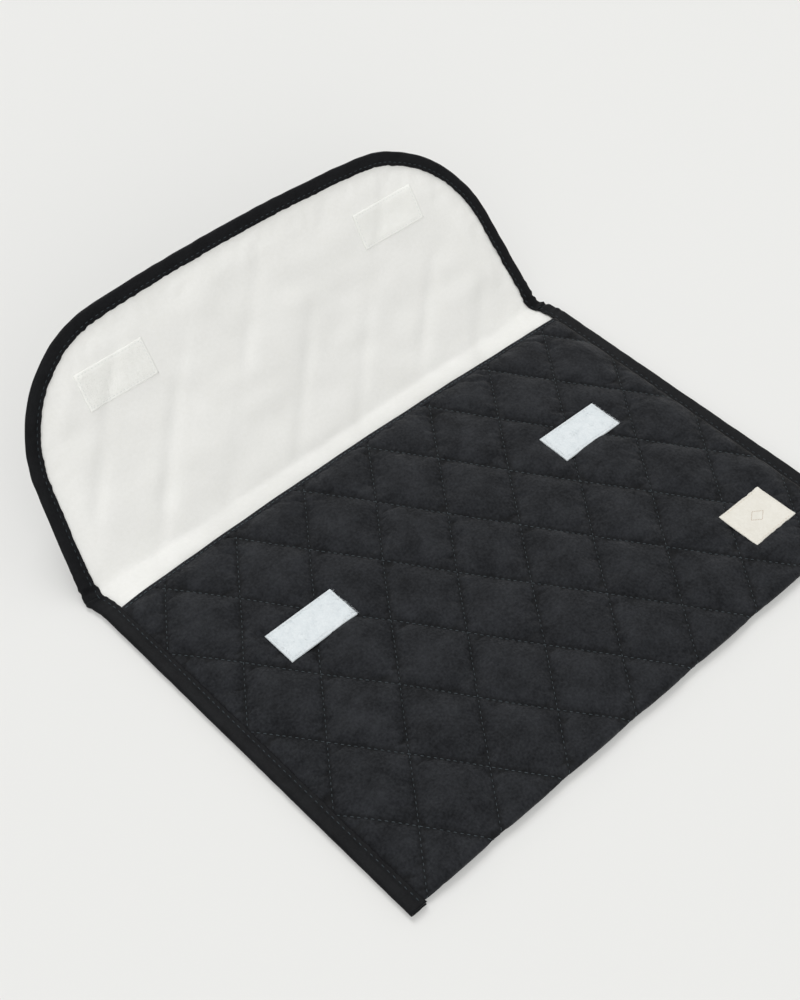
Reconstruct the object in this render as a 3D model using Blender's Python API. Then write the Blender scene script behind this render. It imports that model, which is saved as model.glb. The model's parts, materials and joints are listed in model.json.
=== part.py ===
"""Quilted laptop sleeve with a rounded fold-over flap, lying on its back with the flap raised.

X runs across the sleeve, Y from the bottom fold towards the flap, Z up from the underside.
Every size below is in millimetres.
"""
import math

import bmesh
import bpy
from mathutils import Vector

MM = 0.001
GAP = 0.3                  # air between neighbouring layers
WELD = 1e-6                # metres; joins only points that coincide

# Body outline
HALF_WIDTH = 174.0
FOLD_Y = -119.0            # centre line of the bottom fold
BOTTOM_Y = -123.2
MOUTH_Y = 103.0
CREASE_Y = 117.0

# Fabric layers
SHELL = 0.6
BATTING = 1.6
LINING = 0.5
STACK = SHELL + GAP + BATTING + GAP + LINING

# Side seams, where both panels run into the binding
BINDING_WIDTH = 10.0
BINDING_LEG = 0.8
LAYER_EDGE = 173.0         # the layers stop here, inside the binding
SEAM_X = 163.5             # outside this the layers lie flat in the seam
BACK_FLAT_X = 157.0        # inside this the back panel lies flat on its underside
FRONT_FLAT_X = 150.0       # inside this the front panel has its full height
SEAM_BACK_SHELL = BINDING_LEG + GAP
SEAM_BACK_LINING = SEAM_BACK_SHELL + SHELL + GAP
SEAM_FRONT_LINING = SEAM_BACK_LINING + LINING + GAP
SEAM_FRONT_SHELL = SEAM_FRONT_LINING + LINING + GAP
SEAM_TOP = SEAM_FRONT_SHELL + SHELL + GAP + BINDING_LEG
BACK_BATTING_EDGE = 161.5
FRONT_BATTING_EDGE = 159.0

# Room inside the pocket
LEAST_ROOM = 0.9
MOUTH_ROOM = 5.1           # extra room at the middle of the mouth, where the pocket gapes
GAPE_POWER = 1.2           # how the gape grows from the bottom fold to the mouth

# Mouth hem, loop patches and label on the front
HEM_DEPTH = 4.0
HEM_EDGE = 154.0
PATCH_LENGTH = 44.2
PATCH_DEPTH = 21.3
PATCH_Y = 25.6
LOOP_X = 101.5
LOOP_PILE = 1.4
LABEL_X = 127.8
LABEL_Y = -81.6
LABEL_LENGTH = 33.7
LABEL_DEPTH = 26.6
LABEL_THICKNESS = 0.7

# Flap
AXIS_DROP = 5.35           # from the fold axis down to the flap's lining
AXIS_Z = STACK + AXIS_DROP
FLAP_START = 0.3
FLAP_HALF_BASE = 171.5
FLAP_DEPTH = 130.4
FLAP_TAPER = math.radians(6.2)
CORNER_RADIUS = 78.5
TOP_RADIUS = 1338.0
RISE_AT_CREASE = math.radians(46.0)
RISE_AT_TIP = math.radians(51.0)
HOOK_REACH = 89.3          # from the crease to the middle of the hook patches
HOOK_PILE = 1.2
HOOK_X = 97.2
FLAP_BATTING_INSET = 11.5
FLAP_LEVEL_INSET = 10.3    # inside the binding the layers lie together
FLAP_FLAT_INSET = 17.0

# Facets
PANEL_STOPS = (0, 30, 60, 90, 120, FRONT_FLAT_X, 153.5, BACK_FLAT_X, 160.5, SEAM_X, LAYER_EDGE)
ROW_STOPS = (-95, -60, -25, 10, 55)
ARC_STEPS = 5
SIDE_STEPS = 4
CORNER_STEPS = 9
TOP_STEPS = 8
INNER_STEPS = 4
PATCH_STEPS = 4


def clear_scene():
    for item in list(bpy.data.objects):
        bpy.data.objects.remove(item, do_unlink=True)


def material(name, colour, roughness, sheen=0.0):
    made = bpy.data.materials.new(name)
    made.use_nodes = True
    shader = made.node_tree.nodes["Principled BSDF"]
    shader.inputs["Base Color"].default_value = (*colour, 1.0)
    shader.inputs["Roughness"].default_value = roughness
    shader.inputs["Sheen Weight"].default_value = sheen
    made.diffuse_color = (*colour, 1.0)
    return made


def add_object(name, mesh_data, finish, origin):
    """Finish a bmesh whose points are in millimetres, with the object's own origin in place."""
    centre = Vector(origin)
    for vert in mesh_data.verts:
        vert.co = (vert.co - centre) * MM
    bmesh.ops.remove_doubles(mesh_data, verts=mesh_data.verts, dist=WELD)
    bmesh.ops.recalc_face_normals(mesh_data, faces=mesh_data.faces)
    data = bpy.data.meshes.new(name)
    mesh_data.to_mesh(data)
    mesh_data.free()
    data.materials.append(finish)
    item = bpy.data.objects.new(name, data)
    item.location = centre * MM
    bpy.data.collections["quilted_sleeve"].objects.link(item)
    return item


def unit_grid(columns, rows):
    """A bmesh grid, with the (column, row) number of each of its points."""
    grid = bmesh.new()
    bmesh.ops.create_grid(grid, x_segments=columns, y_segments=rows, size=1.0)
    places = {}
    for vert in grid.verts:
        column = round((vert.co.x + 1) / 2 * columns)
        row = round((vert.co.y + 1) / 2 * rows)
        places[vert] = (column, row)
    return grid, places


def add_sheet(name, columns, rows, under, over, finish, origin=(0, 0, 0)):
    """A sheet between two surfaces, each given as a point for a (column, row) number."""
    grid, places = unit_grid(columns, rows)
    lower = {vert: under(*place) for vert, place in places.items()}
    raised = bmesh.ops.extrude_face_region(grid, geom=grid.faces[:], use_keep_orig=True)
    upper = [item for item in raised["geom"] if isinstance(item, bmesh.types.BMVert)]
    for vert in upper:
        column = round((vert.co.x + 1) / 2 * columns)
        row = round((vert.co.y + 1) / 2 * rows)
        lower[vert] = over(column, row)
    for vert, point in lower.items():
        vert.co = Vector(point)
    return add_object(name, grid, finish, origin)


def add_sweep(name, stations, outline, finish, origin=(0, 0, 0)):
    """A closed outline carried along numbered stations, with both ends capped."""
    corners = len(outline(0))
    tube, places = unit_grid(stations - 1, corners)
    rings = [outline(station) for station in range(stations)]
    for vert, (station, corner) in places.items():
        vert.co = Vector(rings[station][corner % corners])
    bmesh.ops.remove_doubles(tube, verts=tube.verts, dist=WELD / MM)
    bmesh.ops.holes_fill(tube, edges=tube.edges[:], sides=0)
    return add_object(name, tube, finish, origin)


def blend(low, high, share):
    return low + (high - low) * share


def rise(distance, length):
    """0 to 1 over the length, steep at first and level at the end."""
    return math.sin(math.pi / 2 * min(max(distance / length, 0.0), 1.0))


def back_share(x):
    return rise(SEAM_X - abs(x), SEAM_X - BACK_FLAT_X)


def front_share(x):
    return rise(SEAM_X - abs(x), SEAM_X - FRONT_FLAT_X)


def pocket_room(x, y):
    across = math.cos(math.pi / 2 * min(abs(x) / SEAM_X, 1.0))
    along = max((y - FOLD_Y) / (MOUTH_Y - FOLD_Y), 0.0) ** GAPE_POWER
    return LEAST_ROOM + MOUTH_ROOM * across * along


def back_shell_z(x, y):
    return blend(SEAM_BACK_SHELL, 0.0, back_share(x))


def back_lining_z(x, y):
    return blend(SEAM_BACK_LINING, STACK - LINING, back_share(x))


def front_lining_z(x, y):
    return blend(SEAM_FRONT_LINING, STACK + pocket_room(x, y), front_share(x))


def front_shell_z(x, y):
    full = STACK + pocket_room(x, y) + STACK - SHELL
    return blend(SEAM_FRONT_SHELL, full, front_share(x))


def mirrored(stops):
    """Stops on both sides of the middle, in rising order."""
    return [-stop for stop in reversed(stops)][:-1] + list(stops)


def panel_columns(edge):
    inside = [stop for stop in PANEL_STOPS if stop < edge - 1.0]
    return mirrored(inside + [edge])


def add_panel_layer(name, edge, rows, under, over, finish):
    """One layer of the front or back panel, between two height functions of (x, y)."""
    columns = panel_columns(edge)

    def low(column, row):
        x, y = columns[column], rows[row]
        return x, y, under(x, y)

    def high(column, row):
        x, y = columns[column], rows[row]
        return x, y, over(x, y)

    return add_sheet(name, len(columns) - 1, len(rows) - 1, low, high, finish)


def add_back_panel(finishes):
    rows = [FOLD_Y + GAP, CREASE_Y - GAP / 2]
    add_panel_layer(
        "back_shell", LAYER_EDGE, rows, back_shell_z,
        lambda x, y: back_shell_z(x, y) + SHELL, finishes["shell"],
    )
    add_panel_layer(
        "back_batting", BACK_BATTING_EDGE, rows,
        lambda x, y: back_shell_z(x, y) + SHELL + GAP,
        lambda x, y: back_lining_z(x, y) - GAP, finishes["batting"],
    )
    add_panel_layer(
        "back_lining", LAYER_EDGE, rows, back_lining_z,
        lambda x, y: back_lining_z(x, y) + LINING, finishes["lining"],
    )


def add_front_panel(finishes):
    last = MOUTH_Y - SHELL - GAP
    rows = [FOLD_Y + GAP, *ROW_STOPS, last]
    add_panel_layer(
        "front_lining", LAYER_EDGE, rows, front_lining_z,
        lambda x, y: front_lining_z(x, y) + LINING, finishes["lining"],
    )
    add_panel_layer(
        "front_batting", FRONT_BATTING_EDGE, rows,
        lambda x, y: front_lining_z(x, y) + LINING + GAP,
        lambda x, y: front_shell_z(x, y) - GAP, finishes["batting"],
    )
    add_panel_layer(
        "front_shell", LAYER_EDGE, rows, front_shell_z,
        lambda x, y: front_shell_z(x, y) + SHELL, finishes["shell"],
    )


def half_ring(x, outer_low, outer_high, inner_low, inner_high):
    """Section of a folded layer: two half circles that bulge away from the mouth."""
    points = []
    for low, high, order in ((outer_low, outer_high, 1), (inner_low, inner_high, -1)):
        centre = (low + high) / 2
        radius = (high - low) / 2
        for step in range(ARC_STEPS + 1)[::order]:
            turn = math.pi * step / ARC_STEPS - math.pi / 2
            points.append((x, FOLD_Y - radius * math.cos(turn), centre + radius * math.sin(turn)))
    return points


def add_fold_layer(name, edge, outer, inner, finish):
    """A layer that runs round the bottom fold; outer and inner give its two heights at x."""
    columns = panel_columns(edge)

    def outline(station):
        x = columns[station]
        return half_ring(x, *outer(x), *inner(x))

    add_sweep(name, len(columns), outline, finish)


def add_bottom_fold(finishes):
    def shell_outside(x):
        return back_shell_z(x, FOLD_Y), front_shell_z(x, FOLD_Y) + SHELL

    def shell_inside(x):
        return back_shell_z(x, FOLD_Y) + SHELL, front_shell_z(x, FOLD_Y)

    def lining_outside(x):
        return back_lining_z(x, FOLD_Y), front_lining_z(x, FOLD_Y) + LINING

    def lining_inside(x):
        return back_lining_z(x, FOLD_Y) + LINING, front_lining_z(x, FOLD_Y)

    def batting_outside(x):
        low, high = shell_inside(x)
        return low + GAP, high - GAP

    def batting_inside(x):
        low, high = lining_outside(x)
        return low - GAP, high + GAP

    add_fold_layer("bottom_fold_shell", LAYER_EDGE, shell_outside, shell_inside, finishes["shell"])
    add_fold_layer(
        "bottom_fold_batting", FRONT_BATTING_EDGE, batting_outside, batting_inside,
        finishes["batting"],
    )
    add_fold_layer(
        "bottom_fold_lining", LAYER_EDGE, lining_outside, lining_inside, finishes["lining"]
    )


def add_mouth_hem(finish):
    """A narrow fold of shell fabric round the front panel's free edge."""
    columns = panel_columns(HEM_EDGE)

    def outline(station):
        x = columns[station]
        top = front_shell_z(x, MOUTH_Y) + SHELL + GAP
        bottom = front_lining_z(x, MOUTH_Y) - GAP
        inner_y = MOUTH_Y - SHELL
        leg_y = MOUTH_Y - HEM_DEPTH
        return [
            (x, leg_y, bottom - SHELL),
            (x, MOUTH_Y, bottom - SHELL),
            (x, MOUTH_Y, top + SHELL),
            (x, leg_y, top + SHELL),
            (x, leg_y, top),
            (x, inner_y, top),
            (x, inner_y, bottom),
            (x, leg_y, bottom),
        ]

    add_sweep("mouth_hem", len(columns), outline, finish)


def binding_section(depth, thickness):
    """Corners of a folded tape as (distance in from the edge, height)."""
    return [
        (depth, 0.0),
        (0.0, 0.0),
        (0.0, thickness),
        (depth, thickness),
        (depth, thickness - BINDING_LEG),
        (BINDING_LEG, thickness - BINDING_LEG),
        (BINDING_LEG, BINDING_LEG),
        (depth, BINDING_LEG),
    ]


def add_side_binding(name, side, finish):
    ends = (BOTTOM_Y, CREASE_Y - GAP / 2)

    def outline(station):
        section = binding_section(BINDING_WIDTH, SEAM_TOP)
        return [(side * (HALF_WIDTH - inset), ends[station], height) for inset, height in section]

    add_sweep(name, len(ends), outline, finish)


def add_front_patch(name, centre_x, centre_y, length, depth, thickness, finish):
    """A patch that follows the front panel's surface."""
    spread = [step / PATCH_STEPS - 0.5 for step in range(PATCH_STEPS + 1)]
    columns = [centre_x + length * share for share in spread]
    rows = [centre_y + depth * share for share in spread]

    def point(column, row, lift):
        x, y = columns[column], rows[row]
        return x, y, front_shell_z(x, y) + SHELL + GAP + lift

    add_sheet(
        name, PATCH_STEPS, PATCH_STEPS,
        lambda column, row: point(column, row, 0.0),
        lambda column, row: point(column, row, thickness), finish,
    )


def flap_outline():
    """Points and inward directions round the flap's edge, as (across, reach) pairs."""
    inward = Vector((-math.cos(FLAP_TAPER), -math.sin(FLAP_TAPER)))
    along = Vector((-math.sin(FLAP_TAPER), math.cos(FLAP_TAPER)))
    base = Vector((FLAP_HALF_BASE, 0.0))
    top_centre = Vector((0.0, FLAP_DEPTH - TOP_RADIUS))
    # The corner's centre is its radius in from the side, and inside the top arc by the same.
    start = base + inward * CORNER_RADIUS - top_centre
    middle = start.dot(along)
    length = -middle + math.sqrt(
        middle ** 2 - start.length_squared + (TOP_RADIUS - CORNER_RADIUS) ** 2
    )
    centre = base + inward * CORNER_RADIUS + along * length
    first = math.atan2(-inward.y, -inward.x)
    to_corner = centre - top_centre
    last = math.atan2(to_corner.y, to_corner.x)
    half = [(base + along * length * step / SIDE_STEPS, inward) for step in range(SIDE_STEPS)]
    for step in range(CORNER_STEPS):
        turn = blend(first, last, step / CORNER_STEPS)
        spoke = Vector((math.cos(turn), math.sin(turn)))
        half.append((centre + spoke * CORNER_RADIUS, -spoke))
    for step in range(TOP_STEPS // 2 + 1):
        turn = blend(last, math.pi / 2, step / (TOP_STEPS // 2))
        spoke = Vector((math.cos(turn), math.sin(turn)))
        half.append((top_centre + spoke * TOP_RADIUS, -spoke))
    other = [(Vector((-p.x, p.y)), Vector((-n.x, n.y))) for p, n in half[:-1]]
    return half + other[::-1]


def flap_edge_point(station, inset):
    point, inward = station
    moved = point + inward * inset
    return moved.x, max(moved.y, FLAP_START)


def flap_point(across, reach, height):
    """A point of the curved flap; height is measured from its outer face towards its lining."""
    bend = RISE_AT_TIP - RISE_AT_CREASE
    angle = RISE_AT_CREASE + bend * reach / FLAP_DEPTH
    run = FLAP_DEPTH / bend * (math.sin(angle) - math.sin(RISE_AT_CREASE))
    lift = FLAP_DEPTH / bend * (math.cos(RISE_AT_CREASE) - math.cos(angle))
    above = height - AXIS_DROP - STACK
    return (
        across,
        CREASE_Y + run - above * math.sin(angle),
        AXIS_Z + lift + above * math.cos(angle),
    )


FLAP_ORIGIN = (0.0, CREASE_Y, AXIS_Z)


def add_flap_layer(name, insets, under, over, finish):
    """A flap layer; insets lists (distance in from the edge, share of the lift at the seam)."""
    stations = flap_outline()
    ends = [flap_edge_point(stations[0], insets[-1][0])[0], 0.0]
    ends[1] = -ends[0]
    last = len(stations) - 1

    def place(column, row):
        if row < len(insets):
            across, reach = flap_edge_point(stations[column], insets[row][0])
            return across, reach, insets[row][1]
        across, reach = flap_edge_point(stations[column], insets[-1][0])
        share = (row - len(insets) + 1) / INNER_STEPS
        base = blend(ends[0], ends[1], column / last)
        return blend(across, base, share), blend(reach, FLAP_START, share), 0.0

    def low(column, row):
        across, reach, lift = place(column, row)
        return flap_point(across, reach, under(lift))

    def high(column, row):
        across, reach, lift = place(column, row)
        return flap_point(across, reach, over(lift))

    rows = len(insets) - 1 + INNER_STEPS
    add_sheet(name, last, rows, low, high, finish, FLAP_ORIGIN)


def add_flap(finishes):
    seam_lining = SEAM_BACK_LINING
    edges = [(1.1, 1.0), (FLAP_LEVEL_INSET, 1.0), (FLAP_FLAT_INSET, 0.0)]
    share = 1 - (FLAP_BATTING_INSET + 1.5 - FLAP_LEVEL_INSET) / (FLAP_FLAT_INSET - FLAP_LEVEL_INSET)
    batting_edges = [(FLAP_BATTING_INSET + 1.5, share), (FLAP_FLAT_INSET, 0.0)]

    def shell(lift):
        return SEAM_BACK_SHELL * lift

    def lining(lift):
        return blend(STACK - LINING, seam_lining, lift)

    add_flap_layer("flap_shell", edges, shell, lambda lift: shell(lift) + SHELL, finishes["shell"])
    add_flap_layer(
        "flap_batting", batting_edges, lambda lift: shell(lift) + SHELL + GAP,
        lambda lift: lining(lift) - GAP, finishes["batting"],
    )
    add_flap_layer(
        "flap_lining", edges, lining, lambda lift: lining(lift) + LINING, finishes["lining"]
    )


def add_flap_binding(finish):
    stations = flap_outline()
    thickness = SEAM_BACK_LINING + LINING + GAP + BINDING_LEG

    def outline(station):
        ring = []
        for inset, height in binding_section(BINDING_WIDTH, thickness):
            across, reach = flap_edge_point(stations[station], inset)
            ring.append(flap_point(across, reach, height))
        return ring

    add_sweep("flap_binding", len(stations), outline, finish, FLAP_ORIGIN)


def add_hook_patch(name, centre_x, finish):
    def point(column, row, lift):
        across = centre_x + PATCH_LENGTH * (column - 0.5)
        reach = HOOK_REACH + PATCH_DEPTH * (row / 2 - 0.5)
        return flap_point(across, reach, STACK + GAP + lift)

    add_sheet(
        name, 1, 2,
        lambda column, row: point(column, row, 0.0),
        lambda column, row: point(column, row, HOOK_PILE), finish, FLAP_ORIGIN,
    )


def make_finishes():
    return {
        "shell": material("shell_fabric", (0.028, 0.030, 0.034), 0.75, 0.2),
        "batting": material("batting", (0.75, 0.75, 0.72), 0.95),
        "lining": material("lining_fabric", (0.82, 0.82, 0.78), 0.6),
        "binding": material("binding_tape", (0.018, 0.019, 0.022), 0.7, 0.1),
        "loop": material("loop_tape", (0.72, 0.78, 0.81), 0.9, 0.3),
        "hook": material("hook_tape", (0.80, 0.80, 0.76), 0.55),
        "label": material("label_fabric", (0.78, 0.75, 0.66), 0.7),
    }


def main():
    clear_scene()
    group = bpy.data.collections.new("quilted_sleeve")
    bpy.context.scene.collection.children.link(group)
    finishes = make_finishes()
    add_back_panel(finishes)
    add_front_panel(finishes)
    add_bottom_fold(finishes)
    add_mouth_hem(finishes["shell"])
    add_side_binding("side_binding_left", -1, finishes["binding"])
    add_side_binding("side_binding_right", 1, finishes["binding"])
    loops = (("loop_patch_left", -LOOP_X), ("loop_patch_right", LOOP_X))
    for name, x in loops:
        add_front_patch(name, x, PATCH_Y, PATCH_LENGTH, PATCH_DEPTH, LOOP_PILE, finishes["loop"])
    add_front_patch(
        "label", LABEL_X, LABEL_Y, LABEL_LENGTH, LABEL_DEPTH, LABEL_THICKNESS, finishes["label"]
    )
    add_flap(finishes)
    add_flap_binding(finishes["binding"])
    add_hook_patch("hook_patch_left", -HOOK_X, finishes["hook"])
    add_hook_patch("hook_patch_right", HOOK_X, finishes["hook"])


main()
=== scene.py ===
"""Fabrics, stitching and studio for the quilted laptop sleeve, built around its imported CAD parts.

Every length is in millimetres until a mesh is made. The back panel, the crease and the flap are
one strip: a point of it is (x, run, depth), where run is the way up from the bottom fold and
depth is measured in from the outer face. The front panel is (x, run, lift).
"""

import json
import math

import bpy
import numpy as np
from mathutils import Euler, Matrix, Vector


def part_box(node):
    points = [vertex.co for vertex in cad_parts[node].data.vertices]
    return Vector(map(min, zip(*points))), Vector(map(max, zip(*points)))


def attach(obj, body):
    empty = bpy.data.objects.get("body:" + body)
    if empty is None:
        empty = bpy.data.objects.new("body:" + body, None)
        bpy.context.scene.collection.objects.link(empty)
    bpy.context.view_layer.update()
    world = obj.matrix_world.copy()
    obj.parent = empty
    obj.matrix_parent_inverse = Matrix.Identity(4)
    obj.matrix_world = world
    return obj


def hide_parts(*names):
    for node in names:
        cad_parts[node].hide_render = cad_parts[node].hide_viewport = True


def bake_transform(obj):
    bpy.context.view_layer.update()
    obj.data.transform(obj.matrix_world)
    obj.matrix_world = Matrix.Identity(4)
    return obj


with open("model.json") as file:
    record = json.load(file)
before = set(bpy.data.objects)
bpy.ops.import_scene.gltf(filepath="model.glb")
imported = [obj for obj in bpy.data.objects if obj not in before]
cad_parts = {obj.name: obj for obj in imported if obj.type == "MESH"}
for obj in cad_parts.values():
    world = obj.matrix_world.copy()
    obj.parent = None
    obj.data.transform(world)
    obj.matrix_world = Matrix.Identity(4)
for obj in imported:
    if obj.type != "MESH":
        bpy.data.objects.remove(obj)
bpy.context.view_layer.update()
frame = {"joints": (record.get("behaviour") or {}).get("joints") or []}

MM = 0.001
PI = math.pi


def node_box(name):
    low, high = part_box(name)
    return np.array(low) / MM, np.array(high) / MM


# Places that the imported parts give
HINGE = np.array(frame["joints"][0]["pos_m"]) / MM
HALF_WIDTH = node_box("side_binding_right")[1][0]
BOTTOM_Y = node_box("bottom_fold_shell")[0][1]
MOUTH_Y = node_box("mouth_hem")[1][1]
CREASE_Y = HINGE[1]
AXIS_Z = HINGE[2]

# Layers and pocket
STACK = 3.3  # shell, wadding, lining and the air between them
LEAST_ROOM = 0.9
MOUTH_ROOM = 5.1  # extra room at the middle of the mouth, where the pocket gapes
GAPE_POWER = 1.8  # the gape closes a little sooner than in the solids
SEAM_X = 163.8  # the binding covers everything outside this
SEAM_LOW = 1.5  # the layers lie between these heights in the seam
SEAM_HIGH = 3.1
LINING_SEAM_Z = 2.4
RIGHT_OVERHANG = 2.4  # the front bulges this far over the right binding
LEFT_RAMP = 11.0  # the front rises slowly from the left seam
RIGHT_RAMP = 4.4
LINING_RAMP = 14.5

# Strip
FOLD_Y = BOTTOM_Y + 3.75
BACK_RUN = CREASE_Y - BOTTOM_Y
CREASE_RUN = 6.0
FLAP_RUN = BACK_RUN + CREASE_RUN
MOUTH_RUN = MOUTH_Y - BOTTOM_Y
UNDERLAP = 8.0  # the front's and the back's shells meet this far under the fold

# Flap
FLAP_HALF_BASE = 171.5
FLAP_DEPTH = 130.4
FLAP_TAPER = math.radians(6.2)
CORNER_RADIUS = 78.5
TOP_RADIUS = 1338.0
RISE_AT_CREASE = math.radians(46.0)
RISE_AT_TIP = math.radians(51.0)
BEND = RISE_AT_TIP - RISE_AT_CREASE
TWIST = math.radians(1.2)  # the right side of the flap stands a little steeper
SKEW = -3.8  # the flap is sewn on a little to the left of the body
HOOK_REACH = 89.3

# Quilting: diamonds between two families of straight lines
DIAMOND_WIDE = 47.91
DIAMOND_HIGH = 63.0
LINE_A = -0.4846
LINE_B = -1.4006
SINK = 2.3  # stitching lines below the solid's top face
BACK_SINK = 1.2
CREST = 6.8  # height at which the front's puffs level off
BACK_CREST = 1.75
SHEET_HALF = 170.0  # the front's shell ends here, under the binding

# Seams: pitch, and each stitch as (length, radius)
QUILT_PITCH = 3.2
QUILT_STITCH = (2.10, 0.24)
TIGHT_STITCH = (1.75, 0.19)
BINDING_PITCH = 3.8
BINDING_STITCH = (2.2, 0.25)
HEM_PITCH = 3.1
HEM_STITCH = (1.9, 0.24)
HEM_INSET = 2.3
PATCH_INSET = 1.5
STITCH_SHARE = 0.68  # of the pitch, in the seams round the patches

# Binding and lining
BINDING_WIDTH = 10.0
BINDING_THICK = 3.4
STITCH_INSET = 7.5
BINDING_START = 0.9  # the binding starts this far below the bottom fold
TUCK = 4.0  # layers run on under the binding to this far from the edge
LINING_HALF = 171.0
LINING_THICK = 0.5
GHOST_WIDTH = 0.34  # of the quilting lines that show through the lining

# Pieces sewn on: how far they lift the front, and the hook tape's own sizes
PATCH_LIFT = 0.9
LABEL_LIFT = 0.8
HOOK_DEPTH = 21.3
HOOK_PITCH = (1.25, 1.15)
SEWN_ON = [
    (node_box("loop_patch_left"), PATCH_LIFT),
    (node_box("loop_patch_right"), PATCH_LIFT),
    (node_box("label"), LABEL_LIFT),
]

# Cloth simulation: (stiffness, damping) of each kind, in a world this much smaller
CLOTH = {"tension": (12, 5), "compression": (12, 5), "shear": (4, 5), "bending": (0.6, 0.5)}
CLOTH_SCALE = 0.02
MOTTLE_SPAN = (0.36, 0.64)  # most of the mottling noise lies in this span

# Studio, in metres: lights are (energy, spread in degrees, direction)
SOFTBOX = (1.60, 36, (-0.22, -0.62, -1.0))
FILL = (1.12, 60, (0.55, 0.78, -0.68))
FLOOR_HALF = 60.0
FLOOR_DROP = 0.0003
CAMERA_LENS = 58.9
CAMERA_PLACE = (-0.4277, -0.3572, 0.6771)
CAMERA_TURN = (41.294, -1.520, -43.555)


# ---- shapes and noise

def smooth(value):
    value = np.clip(value, 0.0, 1.0)
    return value * value * (3 - 2 * value)


def steep(value):
    """0 to 1, steep at first and level at the end."""
    return np.sin(PI / 2 * np.clip(value, 0.0, 1.0))


def drift(x, y, shortest, longest, seed):
    """Smooth irregular variation, mostly within -1 to 1, with no regular pattern."""
    rng = np.random.default_rng(seed)
    waves = 22
    total = np.zeros_like(x, dtype=float)
    for _ in range(waves):
        turn, phase = rng.uniform(0, 2 * PI, 2)
        length = rng.uniform(shortest, longest)
        total += np.sin(2 * PI * (math.cos(turn) * x + math.sin(turn) * y) / length + phase)
    return total / math.sqrt(2 * waves)


def room(x, y):
    """Height of the pocket: it gapes in the middle of the mouth."""
    across = np.cos(PI / 2 * np.minimum(np.abs(x) / SEAM_X, 1.0))
    along = np.maximum((y - FOLD_Y) / (MOUTH_Y - FOLD_Y), 0.0) ** GAPE_POWER
    return LEAST_ROOM + MOUTH_ROOM * across * along


def front_level(x, y):
    """Height of the front's stitching lines: a long ramp at the left, a steep end at the right."""
    pressed = 0.6 * smooth((y - MOUTH_Y + 9) / 6)
    full = 2 * STACK + room(x, y) - SINK - pressed
    left = 1 - np.exp(-np.maximum(SEAM_X + x, 0.0) / LEFT_RAMP)
    right = smooth((SEAM_X + RIGHT_OVERHANG - x) / RIGHT_RAMP)
    return SEAM_HIGH + (full - SEAM_HIGH) * left * right


def front_place(x, run, lift):
    """Point of the front panel, which runs round the bottom fold and a little way under."""
    y = np.maximum(BOTTOM_Y + np.abs(run), FOLD_Y)
    turn = PI / 2 * np.clip(run / (FOLD_Y - BOTTOM_Y), -1, 1)
    high = front_level(x, y)
    low = np.full_like(high, SEAM_LOW)
    out = FOLD_Y - BOTTOM_Y - 0.7 + 0.22 * lift
    eased = lift * (1 - 0.5 * np.exp(-(np.maximum(run, 0) / 16.0) ** 2))
    radius = (high - low) / 2 + eased
    return np.stack([x, y - out * np.cos(turn), (high + low) / 2 + radius * np.sin(turn)], -1)


def strip_place(x, run, depth):
    """Point of the back panel, the crease or the flap, whose cloth sways a little outwards."""
    reach = np.maximum(run - FLAP_RUN, 0.0)
    rise = RISE_AT_CREASE + TWIST * x / FLAP_HALF_BASE
    angle = rise * np.clip((run - BACK_RUN) / CREASE_RUN, 0, 1) + BEND * reach / FLAP_DEPTH
    tip = rise + BEND * reach / FLAP_DEPTH
    along = FLAP_DEPTH / BEND * (np.sin(tip) - np.sin(rise))
    up = FLAP_DEPTH / BEND * (np.cos(rise) - np.cos(tip))
    sway = (1.0 + 0.95 * drift(x, run, 65, 170, 6)) * smooth((reach - 8) / 45)
    radius = AXIS_Z - depth + sway
    y = BOTTOM_Y + np.minimum(run, BACK_RUN) + along + radius * np.sin(angle)
    z = AXIS_Z + up - radius * np.cos(angle)
    aside = SKEW * smooth((run - MOUTH_RUN) / 24) * (1 - np.minimum(reach / FLAP_DEPTH, 1))
    return np.stack([x + aside + 0 * y, y, z], -1)


def corner_arc():
    """Centre of the flap's round corner, its first and last angle, and the side's length."""
    inward = Vector((-math.cos(FLAP_TAPER), -math.sin(FLAP_TAPER)))
    along = Vector((-math.sin(FLAP_TAPER), math.cos(FLAP_TAPER)))
    base = Vector((FLAP_HALF_BASE, 0.0))
    top_centre = Vector((0.0, FLAP_DEPTH - TOP_RADIUS))
    start = base + inward * CORNER_RADIUS - top_centre
    middle = start.dot(along)
    reach = (TOP_RADIUS - CORNER_RADIUS) ** 2
    length = -middle + math.sqrt(middle ** 2 - start.length_squared + reach)
    centre = base + inward * CORNER_RADIUS + along * length
    to_corner = centre - top_centre
    return np.array(centre), FLAP_TAPER, math.atan2(to_corner.y, to_corner.x), length


CORNER, CORNER_FIRST, CORNER_LAST, FLAP_SIDE = corner_arc()
CORNER_LENGTH = CORNER_RADIUS * (CORNER_LAST - CORNER_FIRST)


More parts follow.
